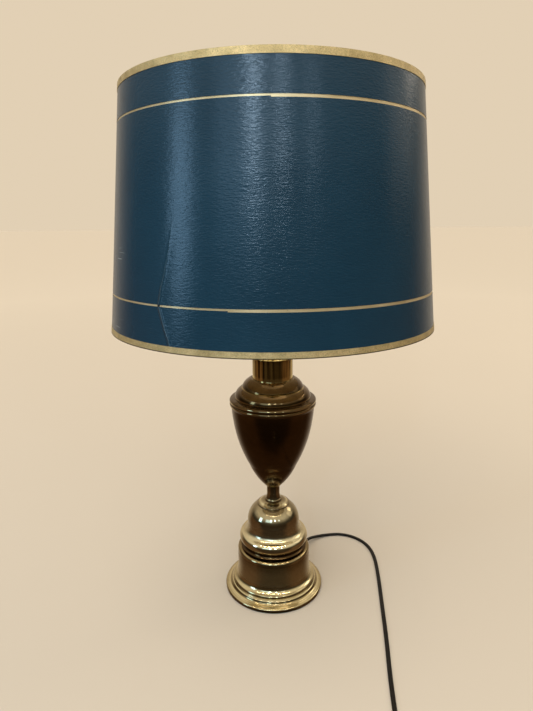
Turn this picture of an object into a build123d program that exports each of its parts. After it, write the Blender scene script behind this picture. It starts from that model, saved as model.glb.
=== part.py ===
"""Table lamp: urn-shaped brass body, harp, socket, bulb, finial and a hardback drum shade.

Millimetres, +Z up, origin at the middle of the underside of the base. The lamp's axis is Z, the
switch knob points along -Y, and the cord leaves the back of the foot on its +X side.
"""
from math import cos, pi, radians, sin, tan
import os

from build123d import *

os.makedirs("parts", exist_ok=True)

# Rod and fits
rod_r = 5.0
rod_bore_r = 3.2
rod_hole_r = 5.1
rod_bottom, rod_top = 22.0, 362.0
running_gap = 0.05

# Base and body: radius and height of each turned or spun piece
felt_t = 1.5
foot_r = 70.5
drum_r, drum_top = 51.6, 64.5
lip_r, lip_bottom, lip_mid, lip_top = 48.8, 72.0, 79.5, 87.0
dome_r, dome_top = 36.8, 129.0
collar_r, collar_top = 22.6, 135.0
stem_r, stem_top = 9.1, 156.5
urn_r, urn_top = 56.6, 276.5
bead_r, rim_top = 58.8, 288.9
tier_low_r, tier_high_r, cover_top = 51.6, 41.4, 315.4
neck_r, neck_top = 27.2, 343.5
cap_top = 347.5
check_r, check_top = 14.0, 350.5
spun_wall = 1.3

# Socket
saddle_t = 1.8
saddle_half, saddle_width = 24.1, 12.0
saddle_shoulder, saddle_tip = 366.4, 372.0
pin_r, pin_length = 1.6, 8.0
nut_t = 3.0
socket_bottom = check_top + saddle_t + nut_t
socket_cap_r, socket_cap_top = 17.4, 374.0
socket_r, socket_top = 16.5, 414.0
interior_r, interior_top = 14.4, 388.0
screw_shell_r, screw_shell_top = 14.0, 412.0
knob_z = 381.0
shaft_r = 1.9

# Bulb
bulb_bottom = 390.7
bulb_cap_r, bulb_cap_bottom, bulb_cap_top = 13.1, 397.0, 417.0
bulb_r, bulb_widest, bulb_top = 30.0, 470.0, 500.0

# Harp and finial
harp_size = 304.8
harp_wire_r = 2.0
harp_half = 56.0
harp_foot_r, harp_foot_top = 2.8, 388.0
seat_top = check_top + harp_size
seat_r = 9.5
stud_r, stud_top = 3.175, 667.5
ferrule_r, ferrule_bottom, ferrule_length = 4.0, 366.7, 18.0
finial_bottom, finial_top = 657.4, 690.0
bush_r, bush_top = 4.5, 667.9

# Shade: the outside of the paper, and the layers under it
shade_top_r, shade_bottom_r = 176.5, 203.2
shade_bottom, shade_top = 391.6, 668.0
paper_t, foil_t, liner_t, tape_t = 0.45, 0.35, 0.9, 0.5
tape_width = 6.8
stripe_width = 2.0
stripe_high, stripe_low = 627.3, 437.7
stripe_step = 1.0
step_high_angle, step_low_angle, seam_angle = -90.0, -102.2, 90.0
ring_wire_r = 1.3
hub_r, hub_t = 12.0, 1.6
arm_r = 1.5

# Cord
cord_r = 2.7
cord_floor = 2.8
exit_angle, exit_z = 60.0, 8.0
exit_inner, exit_wall, exit_tip = 54.7, 71.0, 95.0
coil_x, coil_y = 86.0, -300.0
coil_turn_r = 37.4
coil_inner, coil_outer, coil_top = 23.6, 40.4, 7.0
tail_y, tail_z = coil_y - coil_turn_r, 7.6
plug_start = coil_x - 24.0
relief_length, plug_length, blade_length = 18.0, 22.0, 17.0

exit_x, exit_y = cos(radians(exit_angle)), sin(radians(exit_angle))
cord_route = [
    (exit_tip * exit_x, exit_tip * exit_y, exit_z),
    (55.5, 96.1, exit_z),
    (71.5, 109.0, 4.9),
    (92.0, 118.5, cord_floor),
    (115.0, 120.5, cord_floor),
    (137.0, 110.5, cord_floor),
    (153.5, 91.0, cord_floor),
    (160.5, 60.0, cord_floor),
    (157.0, 8.0, cord_floor),
    (149.5, -58.0, cord_floor),
    (143.0, -118.0, cord_floor),
    (134.5, -180.0, cord_floor),
    (128.5, -242.0, cord_floor),
    (124.2, -293.0, cord_floor),
]


def half_section(*steps):
    """Closed half section in radius and height. A step of four numbers is an arc's middle and end."""
    with BuildSketch(Plane.XZ) as section:
        with BuildLine():
            here = steps[0]
            for step in steps[1:]:
                if len(step) == 2:
                    Line(here, step)
                else:
                    ThreePointArc(here, step[:2], step[2:])
                here = step[-2:]
            Line(here, steps[0])
        make_face()
    return section.sketch


def ring_section(inner, outer, bottom, top):
    """Half section of a plain ring or tube."""
    return half_section((inner, bottom), (outer, bottom), (outer, top), (inner, top))


def shade_radius(height):
    """Outside radius of the conical shade at a height."""
    share = (height - shade_bottom) / (shade_top - shade_bottom)
    return shade_bottom_r + (shade_top_r - shade_bottom_r) * share


def skin_section(depth, thickness, bottom, top):
    """Half section of a conical layer whose outside lies a depth inside the shade's surface."""
    low, high = shade_radius(bottom) - depth, shade_radius(top) - depth
    return half_section((low - thickness, bottom), (low, bottom), (high, top), (high - thickness, top))


def thread_steps(radius, depth, bottom, top, pitch):
    """Steps of a wavy wall that stands for a rolled thread, from its lower to its upper end."""
    turns = int((top - bottom) / pitch)
    steps = []
    for turn in range(turns):
        low = bottom + turn * pitch
        steps.append((radius - depth, low + 0.3 * pitch))
        steps.append((radius, low + 0.65 * pitch, radius - depth, low + pitch))
    return steps


def corner_radii(route, share=0.45):
    """The largest arc that each corner of a route has room for."""
    points = [Vector(*point) for point in route]
    radii = []
    for before, corner, after in zip(points, points[1:], points[2:]):
        half_turn = (corner - before).get_angle(after - corner) / 2
        shorter = min((corner - before).length, (after - corner).length)
        radii.append(share * shorter / tan(radians(half_turn)))
    return radii


def save(piece, name):
    """Label a finished piece and write it."""
    piece.part.label = name
    export_step(piece.part, f"parts/{name}.step")


# ---- Base ----

with BuildPart() as felt_pad:
    with BuildSketch():
        Circle(foot_r - 1.2)
    extrude(amount=felt_t)

with BuildPart() as foot_shell:
    revolve(half_section(
        (68.5, felt_t), (foot_r, felt_t), (foot_r, 3.8),
        (69.7, 5.6, 67.8, 6.4), (66.0, 7.2), (63.0, 8.2, 61.6, 10.2), (61.0, 11.6, 59.8, 12.2),
        (58.6, 13.6), (59.2, 15.8, 58.2, 17.8), (54.4, 20.2, 52.2, 24.5), (drum_r, 34.0),
        (drum_r, 60.0), (50.4, 63.2, 47.5, drum_top), (rod_hole_r, drum_top),
        (rod_hole_r, drum_top - spun_wall), (46.5, drum_top - spun_wall), (49.2, 62.0, 50.2, 59.5),
        (50.2, 34.0), (50.5, 25.0), (56.4, 17.2), (56.6, 13.0), (60.0, 8.5), (66.0, 5.2), (68.5, 4.2),
    ), axis=Axis.Z)
    with Locations(Plane((0, 0, exit_z), z_dir=(exit_x, exit_y, 0))):
        Cylinder(4.6, foot_r + 10, align=(Align.CENTER, Align.CENTER, Align.MIN), mode=Mode.SUBTRACT)

with BuildPart() as base_weight:
    revolve(half_section(
        (rod_hole_r, 36.0), (48.6, 36.0), (49.8, 37.2), (49.8, 59.0), (46.0, drum_top - spun_wall),
        (rod_hole_r, drum_top - spun_wall),
    ), axis=Axis.Z)

with BuildPart() as bottom_washer:
    revolve(ring_section(rod_hole_r, 14.0, 34.0, 36.0), axis=Axis.Z)

with BuildPart() as bottom_nut:
    with BuildSketch(Plane.XY.offset(28.0)):
        RegularPolygon(8.2, 6)
        Circle(rod_r, mode=Mode.SUBTRACT)
    extrude(amount=6.0)
    chamfer(bottom_nut.edges().group_by(Axis.Z)[0].filter_by(GeomType.LINE), 0.5)

with BuildPart() as threaded_rod:
    revolve(half_section(
        (rod_bore_r, rod_bottom), (rod_r - 0.6, rod_bottom), (rod_r, rod_bottom + 0.6),
        (rod_r, rod_top - 0.6), (rod_r - 0.6, rod_top), (rod_bore_r, rod_top),
    ), axis=Axis.Z)

# ---- Body ----

with BuildPart() as spacer_ring:
    revolve(half_section(
        (38.0, drum_top), (47.5, drum_top), (42.5, 67.0, 42.0, lip_bottom), (38.0, lip_bottom),
    ), axis=Axis.Z)

with BuildPart() as dome_shell:
    revolve(half_section(
        (38.0, lip_bottom), (42.0, lip_bottom), (lip_r, lip_mid, 45.6, lip_top),
        (39.5, 90.5, 37.0, 96.0), (dome_r, 103.0), (33.0, 119.0, collar_r, dome_top),
        (rod_hole_r, dome_top), (rod_hole_r, dome_top - spun_wall), (21.8, dome_top - spun_wall),
        (31.8, 118.0, dome_r - spun_wall, 103.0), (35.6, 95.6), (38.4, 89.6, 44.4, 86.0),
        (47.4, lip_mid, 41.8, 73.4), (38.0, 73.4),
    ), axis=Axis.Z)

with BuildPart() as shoulder_ring:
    revolve(half_section(
        (rod_hole_r, dome_top), (collar_r, dome_top), (22.9, 130.4, 21.6, 131.2),
        (16.0, 134.2, 11.4, collar_top), (rod_hole_r, collar_top),
    ), axis=Axis.Z)

with BuildPart() as stem:
    revolve(half_section(
        (rod_hole_r, collar_top), (11.4, collar_top), (11.9, 136.6, 10.9, 138.0),
        (9.5, 142.5, stem_r, 147.0), (stem_r, stem_top), (rod_hole_r, stem_top),
    ), axis=Axis.Z)

with BuildPart() as urn_body:
    revolve(half_section(
        (rod_hole_r, stem_top), (9.5, stem_top), (22.2, 171.3, 33.7, 192.5),
        (47.0, 224.0, 54.6, 258.0), (55.8, 267.0, urn_r, urn_top), (urn_r - spun_wall, urn_top),
        (53.2, 258.0), (45.6, 224.4, 32.4, 193.2), (21.2, 172.6, 8.8, 158.2), (rod_hole_r, 158.2),
    ), axis=Axis.Z)

with BuildPart() as urn_rim:
    revolve(half_section(
        (53.6, urn_top), (urn_r, urn_top), (57.2, 277.6), (bead_r, 280.2, 57.4, 282.8),
        (bead_r, 285.4, 56.8, 287.8), (51.2, rim_top), (49.6, rim_top), (49.6, 286.0), (53.6, 282.0),
    ), axis=Axis.Z)

with BuildPart() as urn_cover:
    revolve(half_section(
        (49.9, rim_top), (51.2, rim_top), (51.2, 290.2), (tier_low_r, 290.8),
        (48.8, 297.4, 42.6, 302.2), (41.0, 302.8), (tier_high_r, 304.4),
        (37.0, 310.8, 29.5, cover_top), (rod_hole_r, cover_top),
        (rod_hole_r, cover_top - spun_wall), (28.8, cover_top - spun_wall),
        (35.9, 309.8, 39.8, 304.0), (39.8, 301.9), (47.6, 296.4, 49.9, 290.8),
    ), axis=Axis.Z)

with BuildPart() as neck_tube:
    revolve(ring_section(neck_r - spun_wall, neck_r, cover_top, neck_top), axis=Axis.Z)

with BuildPart() as neck_cap:
    revolve(half_section(
        (rod_hole_r, neck_top - 2), (neck_r - spun_wall - 0.1, neck_top - 2),
        (neck_r - spun_wall - 0.1, neck_top), (28.0, neck_top), (28.6, 344.5, 28.0, 345.5),
        (26.0, 346.6), (15.0, cap_top), (rod_hole_r, cap_top),
    ), axis=Axis.Z)

with BuildPart() as check_ring:
    revolve(half_section(
        (rod_hole_r, cap_top), (check_r, cap_top), (15.2, 349.0, check_r, check_top),
        (rod_hole_r, check_top),
    ), axis=Axis.Z)

# ---- Harp saddle and socket ----

saddle_low, saddle_high = check_top, check_top + saddle_t
arm_in, arm_out = saddle_half - saddle_t / 2, saddle_half + saddle_t / 2

with BuildPart() as harp_saddle:
    with BuildSketch(Plane.XZ) as strip:
        Polygon(
            (-arm_out, saddle_low), (arm_out, saddle_low), (arm_out, saddle_shoulder),
            (arm_in, saddle_shoulder), (arm_in, saddle_high), (-arm_in, saddle_high),
            (-arm_in, saddle_shoulder), (-arm_out, saddle_shoulder), align=None,
        )
        fillet(strip.vertices().group_by(Axis.Y)[0], 3.0)
        fillet(strip.vertices().group_by(Axis.Y)[1], 1.2)
    extrude(amount=saddle_width / 2, both=True)
    for side in (-1, 1):
        with Locations((side * saddle_half, 0, saddle_shoulder)):
            Box(saddle_t, 4.4, saddle_tip - saddle_shoulder, align=(Align.CENTER, Align.CENTER, Align.MIN))
        with Locations((side * saddle_half, 0, saddle_tip)):
            Cylinder(pin_r, pin_length, align=(Align.CENTER, Align.CENTER, Align.MIN))
    with Locations((0, 0, saddle_low)):
        Cylinder(rod_hole_r, 3 * saddle_t, mode=Mode.SUBTRACT)

with BuildPart() as saddle_nut:
    with BuildSketch(Plane.XY.offset(saddle_high)):
        RegularPolygon(8.0, 6)
        Circle(rod_r, mode=Mode.SUBTRACT)
    extrude(amount=nut_t)

with BuildPart() as socket_cap:
    revolve(half_section(
        (rod_hole_r, socket_bottom), (9.0, socket_bottom), (9.6, 359.6), (13.0, 361.4, 16.2, 365.0),
        (socket_cap_r, 367.6), (socket_cap_r, socket_cap_top), (16.6, socket_cap_top),
        (16.6, 368.2), (12.4, 363.0, 8.4, rod_top), (rod_hole_r, rod_top),
    ), axis=Axis.Z)
    with Locations(Plane((0, 0, 357.6), z_dir=(0, 1, 0))):
        Cylinder(1.3, 12.0, align=(Align.CENTER, Align.CENTER, Align.MIN), mode=Mode.SUBTRACT)

with BuildPart() as socket_set_screw:
    with Locations(Plane((0, rod_hole_r, 357.6), z_dir=(0, 1, 0))):
        Cylinder(1.25, 5.4, align=(Align.CENTER, Align.CENTER, Align.MIN))
    with Locations((0, 11.1, 357.6)):
        Cylinder(2.0, 1.4, rotation=(90, 0, 0))
    with Locations((0, 11.6, 357.6)):
        Box(0.6, 0.8, 4.4, mode=Mode.SUBTRACT)

with BuildPart() as socket_shell:
    revolve(half_section(
        (socket_r - 0.7, 369.0), (socket_r, 369.0), (socket_r, 404.0),
        (socket_r + 0.6, 405.2, socket_r, 406.4), (socket_r, 411.0),
        (16.2, 413.2, 15.3, socket_top), (14.6, socket_top - 0.4),
        (15.5, 412.8, socket_r - 0.7, 410.6),
    ), axis=Axis.Z)
    with Locations(Plane((0, 0, knob_z), z_dir=(0, -1, 0))):
        Cylinder(3.2, 20.0, align=(Align.CENTER, Align.CENTER, Align.MIN), mode=Mode.SUBTRACT)

with BuildPart() as socket_liner:
    revolve(ring_section(14.9, 15.7, 370.0, 410.0), axis=Axis.Z)
    with Locations(Plane((0, 0, knob_z), z_dir=(0, -1, 0))):
        Cylinder(3.2, 20.0, align=(Align.CENTER, Align.CENTER, Align.MIN), mode=Mode.SUBTRACT)

with BuildPart() as socket_interior:
    with BuildSketch(Plane.XY.offset(374.5)):
        Circle(interior_r)
        with Locations((-interior_r, 0), (interior_r, 0)):
            Rectangle(6.0, 9.0, mode=Mode.SUBTRACT)
    extrude(amount=interior_top - 374.5)
    with Locations(Plane((0, -7.0, knob_z), z_dir=(0, -1, 0))):
        Cylinder(
            shaft_r + running_gap, 10.0, align=(Align.CENTER, Align.CENTER, Align.MIN),
            mode=Mode.SUBTRACT,
        )
    with Locations(Plane((0, 0, 374.5), z_dir=(0, 0, 1))):
        Cylinder(3.0, 4.0, align=(Align.CENTER, Align.CENTER, Align.MIN), mode=Mode.SUBTRACT)

with BuildPart() as terminal_screws:
    for side in (-1, 1):
        with Locations(Plane((side * (interior_r - 3.0), 0, 379.5), z_dir=(side, 0, 0))):
            Cylinder(2.6, 1.7, align=(Align.CENTER, Align.CENTER, Align.MIN))
        with Locations((side * (interior_r - 1.4), 0, 379.5)):
            Box(0.9, 6.0, 0.7, mode=Mode.SUBTRACT)

with BuildPart() as screw_shell:
    revolve(half_section(
        (4.6, interior_top), (screw_shell_r, interior_top), (screw_shell_r, screw_shell_top),
        (13.45, screw_shell_top), (13.45, interior_top + 0.6), (4.6, interior_top + 0.6),
    ), axis=Axis.Z)

with BuildPart() as centre_contact:
    revolve(half_section(
        (0, interior_top), (3.6, interior_top), (3.6, 389.4), (2.4, 390.5), (0, 390.5),
    ), axis=Axis.Z)

with BuildPart() as switch_shaft:
    with Locations(Plane((0, -7.3, knob_z), z_dir=(0, -1, 0))):
        Cylinder(shaft_r, 19.7, align=(Align.CENTER, Align.CENTER, Align.MIN))

with BuildPart() as switch_knob:
    with BuildSketch(Plane((0, -27.0, knob_z), x_dir=(1, 0, 0), z_dir=(0, -1, 0))):
        Circle(3.6)
        RectangleRounded(4.2, 13.0, 2.0)
    extrude(amount=12.0)
    with BuildSketch(Plane((0, -23.0, knob_z), x_dir=(1, 0, 0), z_dir=(0, -1, 0))):
        Circle(3.6)
        Circle(shaft_r, mode=Mode.SUBTRACT)
    extrude(amount=4.0)

# ---- Bulb ----

with BuildPart() as bulb_contact:
    revolve(half_section(
        (0, bulb_bottom), (3.0, bulb_bottom), (4.4, 391.6, 4.7, 393.0), (0, 393.0),
    ), axis=Axis.Z)

with BuildPart() as bulb_insulator:
    revolve(half_section(
        (0, 393.05), (4.7, 393.05), (11.4, 396.2), (11.9, bulb_cap_bottom), (0, bulb_cap_bottom),
    ), axis=Axis.Z)

with BuildPart() as bulb_cap:
    revolve(half_section(
        (11.2, bulb_cap_bottom), (bulb_cap_r - 1.0, bulb_cap_bottom),
        *thread_steps(bulb_cap_r, 1.0, bulb_cap_bottom, bulb_cap_top, 3.63),
        (bulb_cap_r - 1.0, bulb_cap_top), (12.6, 419.0), (11.6, 419.0), (11.2, bulb_cap_top),
    ), axis=Axis.Z)

with BuildPart() as bulb_glass:
    revolve(half_section(
        (10.2, 418.0), (11.2, 418.0), (11.55, 419.0), (12.4, 419.1), (15.6, 433.0),
        (23.0, 446.5, 28.4, 458.0), (29.6, 463.8, bulb_r, bulb_widest), (21.4, 491.2, 1.0, bulb_top),
        (0, bulb_top), (0, bulb_top - 1.0), (1.0, bulb_top - 1.0),
        (20.7, 490.4, bulb_r - 1.0, bulb_widest), (28.6, 464.2, 27.4, 458.4),
        (22.1, 447.0, 14.6, 433.3),
    ), axis=Axis.Z)

# ---- Harp ----

harp_top = seat_top - 8.0
harp_side = [
    (saddle_half, harp_foot_top), (saddle_half, 415.0), (harp_half, 480.0), (harp_half, 575.0),
    (30.0, harp_top),
]
harp_path = [(-x, 0, z) for x, z in harp_side] + [(x, 0, z) for x, z in reversed(harp_side)]
harp_bends = [30.0, 90.0, 90.0, 28.0]

with BuildPart() as harp_wire:
    with BuildLine():
        FilletPolyline(*harp_path, radius=harp_bends + harp_bends[::-1])
    with BuildSketch(Plane((-saddle_half, 0, harp_foot_top), z_dir=(0, 0, 1))):
        Circle(harp_wire_r)
    sweep()

with BuildPart() as harp_feet:
    for side in (-1, 1):
        with Locations((side * saddle_half, 0, saddle_tip + 0.2)):
            Cylinder(
                harp_foot_r, harp_foot_top - saddle_tip - 0.2,
                align=(Align.CENTER, Align.CENTER, Align.MIN),
            )
            Cylinder(
                pin_r + running_gap, pin_length + 0.2, align=(Align.CENTER, Align.CENTER, Align.MIN),
                mode=Mode.SUBTRACT,
            )

with BuildPart() as harp_stud:
    with Locations((0, 0, harp_top - 3.5)):
        Box(11.0, 8.0, 8.0, align=(Align.CENTER, Align.CENTER, Align.MIN))
    fillet(harp_stud.edges().filter_by(Axis.Z), 2.0)
    with Locations(Plane((0, 0, harp_top), z_dir=(1, 0, 0))):
        Cylinder(harp_wire_r, 20.0, mode=Mode.SUBTRACT)
    with Locations((0, 0, seat_top)):
        Cylinder(seat_r, 3.5, align=(Align.CENTER, Align.CENTER, Align.MAX))
        Cylinder(stud_r, stud_top - seat_top, align=(Align.CENTER, Align.CENTER, Align.MIN))
    chamfer(harp_stud.faces().sort_by(Axis.Z)[-1].edges(), 0.5)

ferrules = {}
for side, name in ((-1, "ferrule_left"), (1, "ferrule_right")):
    with BuildPart() as ferrule:
        with Locations((side * saddle_half, 0, ferrule_bottom)):
            Cylinder(ferrule_r, ferrule_length, align=(Align.CENTER, Align.CENTER, Align.MIN))
            Cylinder(
                harp_foot_r + 0.08, ferrule_length, align=(Align.CENTER, Align.CENTER, Align.MIN),
                mode=Mode.SUBTRACT,
            )
        chamfer(ferrule.edges().filter_by(GeomType.CIRCLE).sort_by(SortBy.RADIUS)[-2:], 0.4)
    ferrules[name] = ferrule

# ---- Finial ----

with BuildPart() as finial_bush:
    revolve(ring_section(stud_r + running_gap, bush_r, finial_bottom, bush_top), axis=Axis.Z)

with BuildPart() as finial:
    bore_r = bush_r + running_gap
    revolve(half_section(
        (bore_r, finial_bottom), (8.6, finial_bottom), (9.2, 658.2, 8.6, 659.2),
        (6.6, 660.4, 6.2, 663.4), (6.6, 666.0, 8.0, 667.4), (8.6, 668.4, 7.6, 669.4), (5.6, 670.4),
        (10.0, 677.4, 5.2, 684.2), (4.2, 685.0), (3.5, 688.4, 1.0, finial_top), (0, finial_top),
        (0, bush_top + 0.4),
        (bore_r, bush_top + 0.4),
    ), axis=Axis.Z)

# ---- Shade ----

under_paper = paper_t
under_foil = paper_t + foil_t
under_liner = under_foil + liner_t
paper_bottom, paper_top = shade_bottom + tape_t, shade_top - tape_t
half_stripe = stripe_width / 2

with BuildPart() as shade_liner:
    revolve(skin_section(under_foil, liner_t, paper_bottom, paper_top), axis=Axis.Z)

with BuildPart() as gold_underlay:
    revolve(skin_section(under_paper, foil_t, paper_bottom, paper_top), axis=Axis.Z)

with BuildPart() as band_top:
    revolve(skin_section(0, paper_t, stripe_high + half_stripe, paper_top), axis=Axis.Z)

def wide_part(top, start):
    """The strip below a paper edge that is cut away, from an angle round to the seam at the back."""
    cut = skin_section(-0.5, paper_t + 1.0, top - stripe_step, top + 1.0)
    turned = cut.rotate(Axis.Z, start)
    return revolve(turned, axis=Axis.Z, revolution_arc=seam_angle - start, mode=Mode.PRIVATE)


with BuildPart() as band_middle:
    middle_top = stripe_high - half_stripe
    revolve(skin_section(0, paper_t, stripe_low + half_stripe, middle_top), axis=Axis.Z)
    add(wide_part(middle_top, step_high_angle), mode=Mode.SUBTRACT)

with BuildPart() as band_bottom:
    lower_top = stripe_low - half_stripe
    revolve(skin_section(0, paper_t, paper_bottom, lower_top), axis=Axis.Z)
    add(wide_part(lower_top, step_low_angle), mode=Mode.SUBTRACT)


def wire_ring_radius(height):
    """Centre-line radius of a rim wire that lies against the liner."""
    return shade_radius(height) - under_liner - ring_wire_r - 0.15


top_ring_z, bottom_ring_z = paper_top - ring_wire_r - 0.1, paper_bottom + ring_wire_r + 0.1

with BuildPart() as top_ring:
    with Locations((0, 0, top_ring_z)):
        Torus(wire_ring_radius(top_ring_z), ring_wire_r)

with BuildPart() as bottom_ring:
    with Locations((0, 0, bottom_ring_z)):
        Torus(wire_ring_radius(bottom_ring_z), ring_wire_r)


def tape_section(edge, inward):
    """Half section of a tape folded over a rim; inward is -1 at the top rim and 1 at the bottom."""
    fold, end = edge + inward * tape_t, edge + inward * tape_width
    inside = wire_ring_radius(edge) - ring_wire_r - 0.25
    return half_section(
        (shade_radius(end), end), (shade_radius(end) + tape_t, end), (shade_radius(edge) + tape_t, edge),
        (inside - tape_t, edge), (inside - tape_t, end), (inside, end), (inside, fold),
        (shade_radius(fold), fold),
    )


with BuildPart() as top_tape:
    revolve(tape_section(shade_top, -1), axis=Axis.Z)

with BuildPart() as bottom_tape:
    revolve(tape_section(shade_bottom, 1), axis=Axis.Z)

hub_bottom = seat_top + 0.1
arm_z = hub_bottom + hub_t - arm_r
arm_end = wire_ring_radius(top_ring_z) - ring_wire_r + 0.3

with BuildPart() as spider:
    with Locations((0, 0, hub_bottom)):
        Cylinder(hub_r, hub_t, align=(Align.CENTER, Align.CENTER, Align.MIN))
        Cylinder(stud_r + 0.08, hub_t, align=(Align.CENTER, Align.CENTER, Align.MIN), mode=Mode.SUBTRACT)
    for turn in (90, 210, 330):
        out = Vector(cos(radians(turn)), sin(radians(turn)), 0)
        with BuildLine():
            FilletPolyline(
                out * (hub_r - 2) + Vector(0, 0, arm_z), out * (arm_end - 24) + Vector(0, 0, arm_z),
                out * arm_end + Vector(0, 0, top_ring_z), radius=14,
            )
        with BuildSketch(Plane(out * (hub_r - 2) + Vector(0, 0, arm_z), z_dir=out)):
            Circle(arm_r)
        sweep()

# ---- Cord, its bushing and its plug ----

exit_plane = Plane((0, 0, exit_z), x_dir=(0, 0, 1), z_dir=(exit_x, exit_y, 0))

with BuildPart() as cord_bushing:
    with BuildSketch(Plane((0, 0, exit_z), x_dir=(exit_x, exit_y, 0), z_dir=(exit_y, -exit_x, 0))):
        with BuildLine():
            Polyline(
                (exit_inner, cord_r), (exit_inner, 5.0), (exit_inner + 1.6, 5.0), (exit_inner + 1.6, 4.5),
                (exit_wall, 4.5), (exit_wall, 5.6), (exit_wall + 2.2, 5.6), (exit_wall + 3.0, 4.8),
                (exit_tip, 3.6), (exit_tip, cord_r), (exit_inner, cord_r),
            )
        make_face()
    revolve(axis=Axis((0, 0, exit_z), (exit_x, exit_y, 0)))
    for ring in range(5):
        groove = exit_wall + 6.0 + 3.6 * ring
        with Locations(exit_plane.offset(groove)):
            Torus(5.4 - 0.19 * ring, 0.75, mode=Mode.SUBTRACT)

with BuildPart() as inner_lead:
    lead_r = 2.4
    with BuildLine():
        FilletPolyline(
            (exit_inner * exit_x, exit_inner * exit_y, exit_z), (0, 0, exit_z), (0, 0, rod_top + 6),
            radius=13.0,
        )
    with BuildSketch(Plane((exit_inner * exit_x, exit_inner * exit_y, exit_z), z_dir=(-exit_x, -exit_y, 0))):
        Circle(lead_r)
    sweep()

cord_bends = corner_radii(cord_route)
with BuildPart() as lamp_cord:
    with BuildLine() as cord_line:
        FilletPolyline(*cord_route, radius=cord_bends)
    with BuildSketch(Plane(cord_route[0], z_dir=(exit_x, exit_y, 0))):
        Circle(cord_r)
    sweep()

with BuildPart() as cord_coil:
    with BuildSketch(Plane((coil_x, coil_y, 0), x_dir=(1, 0, 0), z_dir=(0, -1, 0))):
        with Locations(((coil_inner + coil_outer) / 2, coil_top / 2)):
            RectangleRounded(coil_outer - coil_inner, coil_top, 3.0)
    revolve(axis=Axis((coil_x, coil_y, 0), (0, 0, 1)))

with BuildPart() as coil_tie:
    with BuildSketch(Plane((coil_x, coil_y, 0), x_dir=(-1, 0, 0), z_dir=(0, 1, 0))):
        with Locations(((coil_inner + coil_outer) / 2, (coil_top + 1.0) / 2)):
            RectangleRounded(coil_outer - coil_inner + 2.4, coil_top + 1.0, 3.4)
            RectangleRounded(coil_outer - coil_inner - 0.4, coil_top - 0.8, 2.6, mode=Mode.SUBTRACT)
    extrude(amount=2.5, both=True)

with BuildPart() as cord_tail:
    with Locations(Plane((coil_x - 2, tail_y, tail_z), z_dir=(-1, 0, 0))):
        Cylinder(cord_r, coil_x - 2 - plug_start, align=(Align.CENTER, Align.CENTER, Align.MIN))

with BuildPart() as plug_body:
    with BuildSketch(Plane((plug_start, tail_y, tail_z), z_dir=(-1, 0, 0))):
        Circle(3.7)
    with BuildSketch(Plane((plug_start - relief_length, tail_y, tail_z), z_dir=(-1, 0, 0))):
        Circle(5.4)
    loft()
    with Locations((plug_start - relief_length - plug_length / 2, tail_y, tail_z)):
        Box(plug_length, 22.0, 2 * tail_z)
    fillet(plug_body.edges().filter_by(Axis.X), 4.5)
    fillet(plug_body.faces().sort_by(Axis.X)[0].edges(), 1.2)

blade_start = plug_start - relief_length - plug_length
with BuildPart() as plug_blades:
    for side in (-1, 1):
        with Locations((blade_start, tail_y + side * 6.35, tail_z)):
            Box(blade_length, 1.5, 6.4, align=(Align.MAX, Align.CENTER, Align.CENTER))
        with Locations((blade_start - blade_length + 4.0, tail_y + side * 6.35, tail_z)):
            Cylinder(1.6, 8.0, rotation=(90, 0, 0), mode=Mode.SUBTRACT)
    chamfer(plug_blades.faces().sort_by(Axis.X)[0:2].edges().filter_by(Axis.Y), 1.2)

pieces = {
    "felt_pad": felt_pad, "foot_shell": foot_shell, "base_weight": base_weight,
    "bottom_washer": bottom_washer, "bottom_nut": bottom_nut, "threaded_rod": threaded_rod,
    "spacer_ring": spacer_ring, "dome_shell": dome_shell, "shoulder_ring": shoulder_ring,
    "stem": stem, "urn_body": urn_body, "urn_rim": urn_rim, "urn_cover": urn_cover,
    "neck_tube": neck_tube, "neck_cap": neck_cap, "check_ring": check_ring,
    "harp_saddle": harp_saddle, "saddle_nut": saddle_nut, "socket_cap": socket_cap,
    "socket_set_screw": socket_set_screw, "socket_shell": socket_shell,
    "socket_liner": socket_liner, "socket_interior": socket_interior,
    "terminal_screws": terminal_screws, "screw_shell": screw_shell,
    "centre_contact": centre_contact, "switch_shaft": switch_shaft, "switch_knob": switch_knob,
    "bulb_contact": bulb_contact, "bulb_insulator": bulb_insulator, "bulb_cap": bulb_cap,
    "bulb_glass": bulb_glass, "harp_wire": harp_wire, "harp_feet": harp_feet,
    "harp_stud": harp_stud, **ferrules, "finial_bush": finial_bush, "finial": finial,
    "shade_liner": shade_liner, "gold_underlay": gold_underlay, "band_top": band_top,
    "band_middle": band_middle, "band_bottom": band_bottom, "top_ring": top_ring,
    "bottom_ring": bottom_ring, "top_tape": top_tape, "bottom_tape": bottom_tape,
    "spider": spider, "cord_bushing": cord_bushing, "inner_lead": inner_lead,
    "lamp_cord": lamp_cord, "cord_coil": cord_coil, "coil_tie": coil_tie,
    "cord_tail": cord_tail, "plug_body": plug_body, "plug_blades": plug_blades,
}
for name, piece in pieces.items():
    save(piece, name)

cord_length = sum(edge.length for edge in cord_line.line.edges())
swept = pi * cord_r ** 2 * cord_length
print(f"{len(pieces)} pieces")
print("cord radii", [round(radius) for radius in cord_bends])
print(f"cord tube {cord_length:.1f} long, volume {lamp_cord.part.volume:.0f} of {swept:.0f}")
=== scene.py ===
import math

import bmesh
import bpy
from mathutils import Matrix, Vector


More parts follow.
